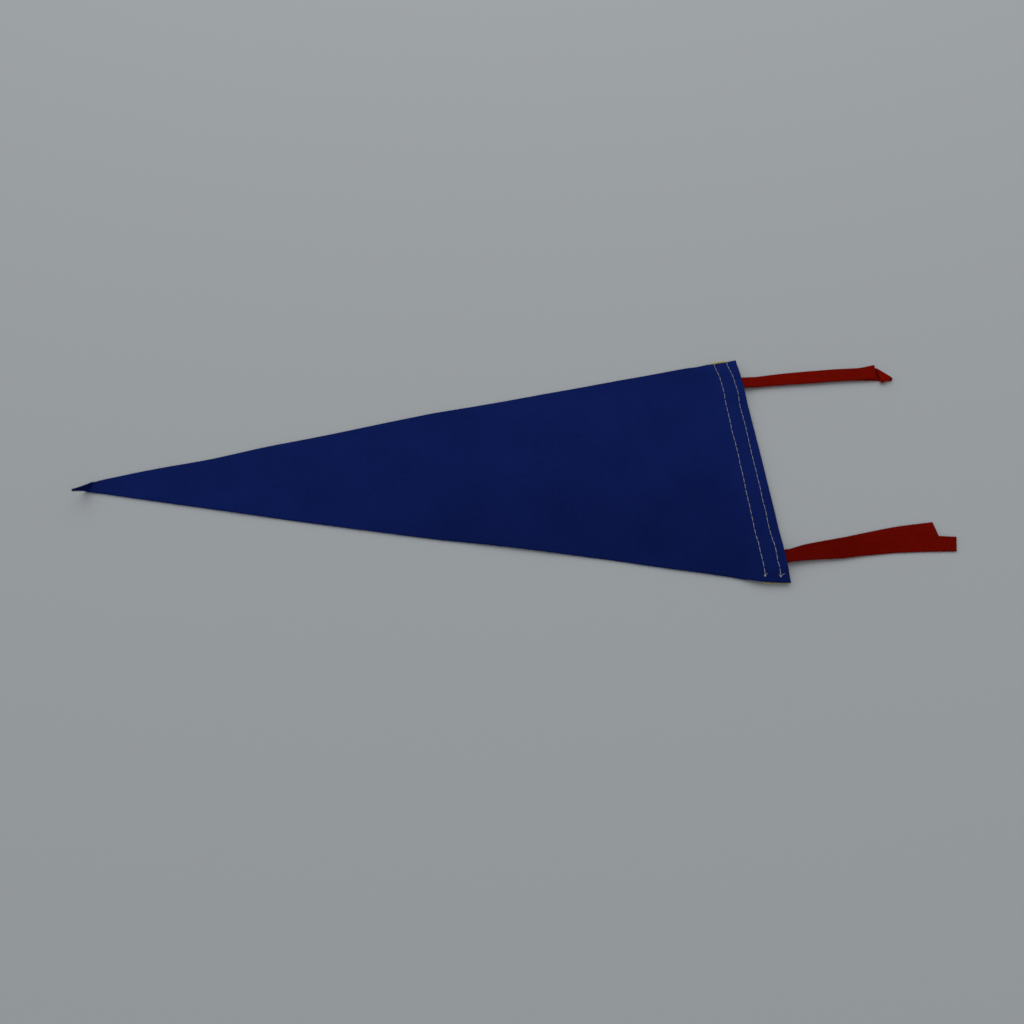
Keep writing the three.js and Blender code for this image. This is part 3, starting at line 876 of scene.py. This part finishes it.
# %% Tubes along paths
def tube_points(paths, radius, sides, reference, ply=0.0, twist=1.0):
    """Rings of points round many paths at once, in an array of path, place, side and coordinate.

    Each ring is spanned by the way across, the cross product of the path's direction and the reference,
    and by the cross product of the two. Its radius is the given one times 1 + ply cos(2 (angle - turn)),
    where the turn grows by one full turn for each twist of length.
    """
    along = unit(np.gradient(paths, axis=1))
    across = unit(np.cross(along, reference[:, None]))
    over = np.cross(across, along)
    steps = np.linalg.norm(np.diff(paths, axis=1), axis=-1)
    run = np.pad(np.cumsum(steps, axis=1), [(0, 0), (1, 0)])
    angle = np.linspace(0, 2 * math.pi, sides, endpoint=False)
    bulge = 1 + ply * np.cos(2 * (angle - 2 * math.pi * run[..., None] / twist))
    reach = (radius * bulge)[..., None]
    ring = across[:, :, None] * np.cos(angle)[:, None] + over[:, :, None] * np.sin(angle)[:, None]
    return paths[:, :, None] + reach * ring


def tube_faces(count, places, sides, first=0):
    """Faces of the walls and the two end caps of tubes whose points are numbered from first on."""
    numbers = first + np.arange(count * places * sides).reshape(count, places, sides)
    ringed = np.concatenate([numbers, numbers[:, :, :1]], axis=2)
    walls = np.concatenate([grid_faces(one) for one in ringed])
    return walls.tolist() + numbers[:, 0, ::-1].tolist() + numbers[:, -1].tolist()


def joined_tubes(groups):
    """Points and faces of several groups of tubes as one mesh."""
    points = []
    faces = []
    first = 0
    for rings in groups:
        count, places, sides = rings.shape[:3]
        faces += tube_faces(count, places, sides, first)
        points.append(rings.reshape(-1, 3))
        first += count * places * sides
    return np.concatenate(points), faces


print("faces of one short tube:", len(tube_faces(1, 3, 6)))

# %% [markdown]
# The upper thread lies in its trough and dips at each needle hole. The lower thread does the same on the
# strip's underside. At each hole the two are linked by a short upright length, which is what holds the
# layers together. Each row ends in a small knot with its cut ends sticking out. Stitches drawn by the
# felt's material would be quicker, but real thread stands proud, shines a little and throws a fine shadow.

# %% The stitches
THREAD_RADIUS = 0.1
THREAD_PLY = 0.2
THREAD_TWIST = 1.3
THREAD_STEP = 0.14
THREAD_SIDES = 10
PROUD = 0.1
HOLE_DIP = 0.75
HOLE_DIP_WIDTH = 0.5
LOWER_RADIUS = 0.11
LOWER_Z = 0.16
LOWER_RISE = 0.35
LINK_PLACES = 4
LINK_SIDES = 6


def stitch_run(places):
    """x and y along a row, in straight stitches from hole to hole, and the distance from the nearest
    hole, where the first place is a cut end and not a hole."""
    count = len(places) - 1
    q = np.linspace(0, count, round(count * STITCH / THREAD_STEP))
    x = np.interp(q, np.arange(count + 1), places[:, 0])
    y = np.interp(q, np.arange(count + 1), places[:, 1])
    from_hole = np.abs(q - np.clip(np.round(q), 1, count)) * STITCH
    return x, y, from_hole


def upper_thread(places):
    """Path of the upper thread: proud of the felt, less a dip at each hole."""
    x, y, from_hole = stitch_run(places)
    plain_top = body_lift(x, y) + BODY_THICKNESS
    dip = HOLE_DIP * np.exp(-(from_hole / HOLE_DIP_WIDTH) ** 2)
    return np.stack([x, y, plain_top + PROUD - dip], axis=-1)


def lower_thread(places):
    """Path of the lower thread, in the groove of the strip's underside, less a rise at each hole."""
    x, y, from_hole = stitch_run(places)
    return np.stack([x, y, LOWER_Z + LOWER_RISE * np.exp(-(from_hole / HOLE_DIP_WIDTH) ** 2)], axis=-1)


def links(places):
    """The upright lengths that link the two threads, one at each hole."""
    share = np.linspace(0, 1, LINK_PLACES)[None, :]
    x = np.repeat(places[1:, :1], LINK_PLACES, axis=1)
    y = np.repeat(places[1:, 1:], LINK_PLACES, axis=1)
    low = LOWER_Z + LOWER_RISE
    high = body_lift(x, y) + BODY_THICKNESS + PROUD - HOLE_DIP
    return np.stack([x, y, mix(low, high, share)], axis=-1)


KNOT_SIZE = 0.13
KNOT_STEPS = 60
KNOT_THREAD_RADIUS = THREAD_RADIUS * 0.8
CUT_END_PLACES = 12
CUT_END_SWAY = 0.15
CUT_END_RISE = 0.25
CUT_ENDS = {
    "inner": ({"way": (0.75, 0.66), "length": 1.3}, {"way": (-0.6, 0.2), "length": 1.0}),
    "outer": ({"way": (0.9, 0.44), "length": 2.3}, {"way": (-0.8, 0.5), "length": 1.1}),
}


def knot(place):
    """A small overhand knot: a trefoil, x = sin t + 2 sin 2t, y = cos t - 2 cos 2t, z = -sin 3t."""
    t = np.linspace(0, 2 * math.pi, KNOT_STEPS)
    trefoil = [np.sin(t) + 2 * np.sin(2 * t), np.cos(t) - 2 * np.cos(2 * t), -np.sin(3 * t)]
    trefoil = np.stack(trefoil, axis=-1)
    height = body_lift(*place) + BODY_THICKNESS + THREAD_RADIUS
    return (trefoil * KNOT_SIZE + (*place, height))[None]


def cut_ends(row, place):
    """The knot's cut ends: each leaves along its way, rises a little and comes down on the felt."""
    t = np.linspace(0, 1, CUT_END_PLACES)
    arch = np.sin(math.pi * t)
    paths = []
    for end in CUT_ENDS[row]:
        x = place[0] + end["way"][0] * end["length"] * t
        y = place[1] + end["way"][1] * end["length"] * t + CUT_END_SWAY * arch
        z = body_lift(x, y) + BODY_THICKNESS + THREAD_RADIUS + CUT_END_RISE * arch
        paths.append(np.stack([x, y, z], axis=-1))
    return np.stack(paths)


ALONG_X = np.array([[1.0, 0, 0]])
UPWARD = np.array([[0, 0, 1.0]])
thread = []
for row, places in holes.items():
    twisted = {"sides": THREAD_SIDES, "ply": THREAD_PLY, "twist": THREAD_TWIST}
    thread.append(tube_points(upper_thread(places)[None], THREAD_RADIUS, reference=ALONG_X, **twisted))
    thread.append(tube_points(lower_thread(places)[None], LOWER_RADIUS, reference=ALONG_X, **twisted))
    thread.append(tube_points(links(places), LOWER_RADIUS, LINK_SIDES, ALONG_X))
    for path in (knot(places[-1]), cut_ends(row, places[-1])):
        thread.append(tube_points(path, KNOT_THREAD_RADIUS, reference=UPWARD, **twisted))
stitches = new_piece("seam_stitches", *joined_tubes(thread), cream_thread)

# %% [markdown]
# Cut felt is never clean: fibre ends stand out of every edge, and loops of fibre lie on the surface. They
# could be particle hair, but hair is not exported as a mesh. So each fibre is a very thin tube of three
# sides along a short bent path, and thousands of them are made in one go from arrays.

# %% Fibres on the edges and the surface
FIBRE_RADIUS = 0.015
FIBRE_PLACES = 5
FIBRE_SIDES = 3
EDGE_FIBRES = {"root": 0.1, "shape": 3, "scale": 0.16, "least": 0.15, "lean": 0.8, "bend": 0.45}
SURFACE_FIBRES = {"length": (0.5, 1.6), "loop": (0.06, 0.2), "curve": 0.25, "sunk": 0.05}
BODY_FIBRES = {"edge": 2600, "edge_seed": 31, "surface": 2400, "surface_seed": 32}
FAR_TIE_FIBRES = {"edge": 1100, "edge_seed": 33, "surface": 400, "surface_seed": 34}
NEAR_TIE_FIBRES = {"edge": 1100, "edge_seed": 35, "surface": 400, "surface_seed": 36}
ANY_DIRECTION = 1e-6


def edge_fibres(sheet, count, seed):
    """Paths of fibres that stand out of a cut edge: along the edge's outward direction and a random lean,
    with a bend that grows with the square of the way along."""
    random = np.random.default_rng(seed)
    ring = random.integers(0, len(RIM_SHARES), count)
    place = random.integers(0, len(sheet["outward"]), count)
    outward = sheet["outward"][place]
    lean = unit(random.normal(0, 1, (count, 3)))
    root = sheet["edge"][ring, place] - outward * EDGE_FIBRES["root"]
    length = random.gamma(EDGE_FIBRES["shape"], EDGE_FIBRES["scale"], count) + EDGE_FIBRES["least"]
    t = np.linspace(0, 1, FIBRE_PLACES)[None, :, None]
    way = unit(outward + EDGE_FIBRES["lean"] * lean)[:, None]
    bend = unit(random.normal(0, 1, (count, 3)))[:, None]
    return root[:, None] + length[:, None, None] * (way * t + EDGE_FIBRES["bend"] * bend * t * t)


def surface_fibres(sheet, count, seed):
    """Paths of fibres that lie on a sheet's top in low loops, both ends sunk into the felt."""
    random = np.random.default_rng(seed)
    place = random.integers(0, len(sheet["top"]), count)
    normal = sheet["normals"][place]
    way = unit(np.cross(normal, random.normal(0, 1, (count, 3))))
    side = np.cross(normal, way)
    length = random.uniform(*SURFACE_FIBRES["length"], count)[:, None, None]
    loop = random.uniform(*SURFACE_FIBRES["loop"], count)[:, None, None]
    curve = random.normal(0, SURFACE_FIBRES["curve"], count)[:, None, None]
    t = np.linspace(0, 1, FIBRE_PLACES)[None, :, None]
    arch = 4 * t * (1 - t)
    lying = length * (way[:, None] * (t - 0.5) + curve * side[:, None] * arch)
    return sheet["top"][place][:, None] + lying + normal[:, None] * (loop * arch - SURFACE_FIBRES["sunk"])


def felt_fibres(sheet, fibres):
    """Paths of all the fibres of one sheet."""
    at_edge = edge_fibres(sheet, fibres["edge"], fibres["edge_seed"])
    return np.concatenate([at_edge, surface_fibres(sheet, fibres["surface"], fibres["surface_seed"])])


def fibre_piece(name, paths, material, painted_shading):
    """A piece made of all the fibres of one colour. They keep above the surface that the flag lies on."""
    paths[..., 2] = np.maximum(paths[..., 2], FIBRE_RADIUS)
    reference = unit(np.cross(paths[:, 1] - paths[:, 0], paths[:, -1] - paths[:, -2]) + ANY_DIRECTION)
    rings = tube_points(paths, FIBRE_RADIUS, FIBRE_SIDES, reference)
    points, faces = joined_tubes([rings])
    piece = new_piece(name, points, faces, material, points, painted_shading)
    return piece


# The fibres take the same painted light and shade as the felt they stand out of.
blue_paths = felt_fibres(body_sheet, BODY_FIBRES)
blue_fibres = fibre_piece("blue_fibres", blue_paths, blue_felt, body_painted_light)
red_paths = np.concatenate([
    felt_fibres(tie_far_sheet, FAR_TIE_FIBRES), felt_fibres(tie_near_sheet, NEAR_TIE_FIBRES)])
red_fibres = fibre_piece("red_fibres", red_paths, red_felt, tie_painted_light)

# %% [markdown]
# The flag needs something to lie on and to throw its shadow on. The floor is one plain pale plane, a hair
# below the felt, so that no two faces lie in the same place.

# %% Floor
FLOOR_HALF = 3.0
FLOOR_DROP = 0.02
FLOOR_COLOUR = (0.76, 0.788, 0.807)
FLOOR_FINISH = {"Roughness": 0.95, "Specular IOR Level": 0.1}

floor_material, _, floor_shader = new_material("pale_floor")
floor_shader.inputs["Base Color"].default_value = (*FLOOR_COLOUR, 1)
set_inputs(floor_shader, FLOOR_FINISH)
floor_mesh = bpy.data.meshes.new("floor")
floor_corners = [(-1, -1), (1, -1), (1, 1), (-1, 1)]
floor_points = [(x * FLOOR_HALF, y * FLOOR_HALF, -FLOOR_DROP * MM) for x, y in floor_corners]
floor_mesh.from_pydata(floor_points, [], [(0, 1, 2, 3)])
floor_mesh.materials.append(floor_material)
floor = bpy.data.objects.new("floor", floor_mesh)
bpy.context.scene.collection.objects.link(floor)
print("floor:", 2 * FLOOR_HALF, "m wide")

# %% [markdown]
# One large soft light stands on the far side, so the near edges throw a short soft shadow, and a pale sky
# fills in the rest. A sun would be simpler, but its light is the same everywhere, and here the light falls
# off a little towards the viewer.

# %% Lights
SKY_COLOUR = (0.93, 0.97, 1.0)
SKY_STRENGTH = 0.3
LIGHT_PLACE = (0.03, 0.8, 1.05)
LIGHT_SIZE = (1.9, 1.5)
LIGHT_POWER = 4.2

world = bpy.data.worlds.new("studio")
world.use_nodes = True
set_inputs(world.node_tree.nodes["Background"], {"Color": (*SKY_COLOUR, 1), "Strength": SKY_STRENGTH})
bpy.context.scene.world = world

light_data = bpy.data.lights.new("soft_light", "AREA")
light_data.shape = "RECTANGLE"
light_data.size, light_data.size_y = LIGHT_SIZE
light_data.energy = LIGHT_POWER
light = bpy.data.objects.new("soft_light", light_data)
light.location = LIGHT_PLACE
light.rotation_euler = (-math.atan2(LIGHT_PLACE[1], LIGHT_PLACE[2]), 0, 0)
bpy.context.scene.collection.objects.link(light)

bpy.context.scene.view_settings.view_transform = "Standard"
print("light power:", LIGHT_POWER, "W")
